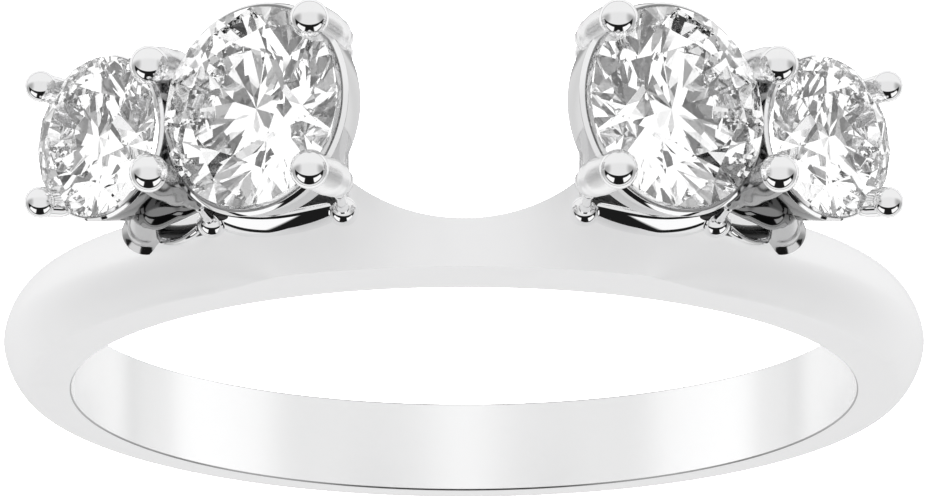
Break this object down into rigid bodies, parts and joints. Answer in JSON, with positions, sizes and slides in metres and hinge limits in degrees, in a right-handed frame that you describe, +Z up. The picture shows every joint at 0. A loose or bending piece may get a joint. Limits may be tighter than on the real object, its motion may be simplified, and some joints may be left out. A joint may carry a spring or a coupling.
{
  "type": "ring guard enhancer",
  "caption": "Polished white-metal ring guard with a pair of round brilliant stones on each side of an open centre, worn against a solitaire ring.",
  "frame": {"origin": "centre of the finger hole, midway across the band", "axes": "+Z up from the surface that the ring lies on; the stones point to -Y; X across the two pairs of stones"},
  "size_m": [0.0202, 0.0244, 0.0053],
  "materials": {
    "white_metal": "mirror-polished white gold",
    "stone": "polished facets, colourless"
  },
  "bodies": {
    "root": {"ring_mount": "white_metal", "large_stone_left": "stone", "large_stone_right": "stone", "small_stone_left": "stone", "small_stone_right": "stone"}
  },
  "joints": []
}
